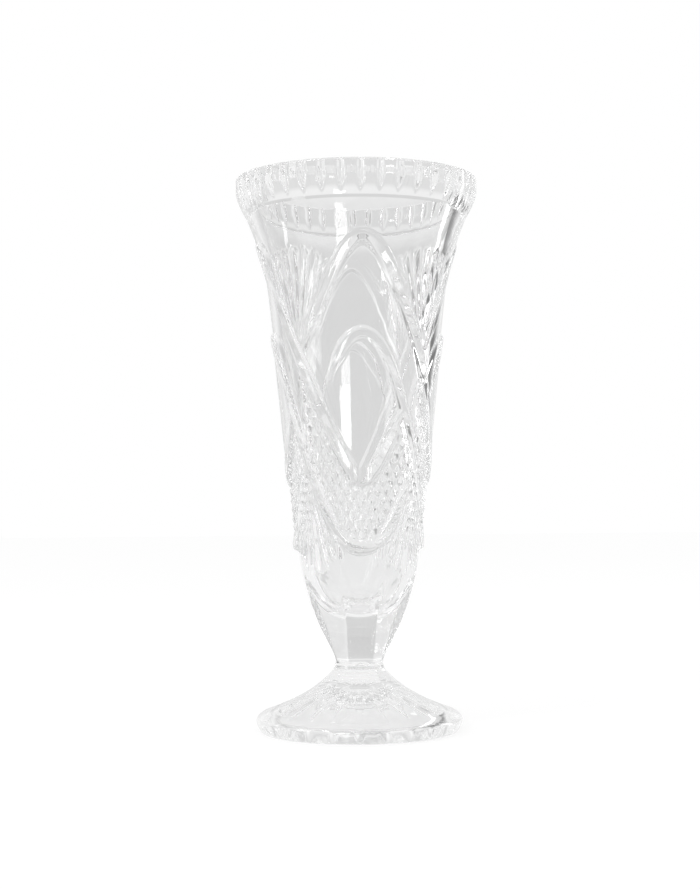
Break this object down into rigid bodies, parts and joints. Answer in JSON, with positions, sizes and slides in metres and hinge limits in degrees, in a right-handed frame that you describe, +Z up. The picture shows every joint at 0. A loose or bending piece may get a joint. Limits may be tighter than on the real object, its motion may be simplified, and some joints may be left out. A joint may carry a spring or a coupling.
{
  "type": "trumpet vase",
  "caption": "Footed trumpet vase in clear pressed glass, with interlaced bands, diamonds and fans round a tapering bowl, a fluted rim, a faceted stem and a fluted foot.",
  "frame": {"origin": "centre of the resting ring, on the table", "axes": "+Z up along the vase's axis, the panel seen from the front faces -Y"},
  "size_m": [0.1094, 0.1094, 0.25],
  "materials": {
    "bowl_glass": "fire-polished pressed glass",
    "stem_glass": "fire-polished facets",
    "collar_glass": "smooth hot-worked glass",
    "foot_glass": "fire-polished pressed glass"
  },
  "bodies": {
    "root": {"bowl": "bowl_glass", "stem": "stem_glass", "collar": "collar_glass", "foot": "foot_glass"}
  },
  "joints": []
}
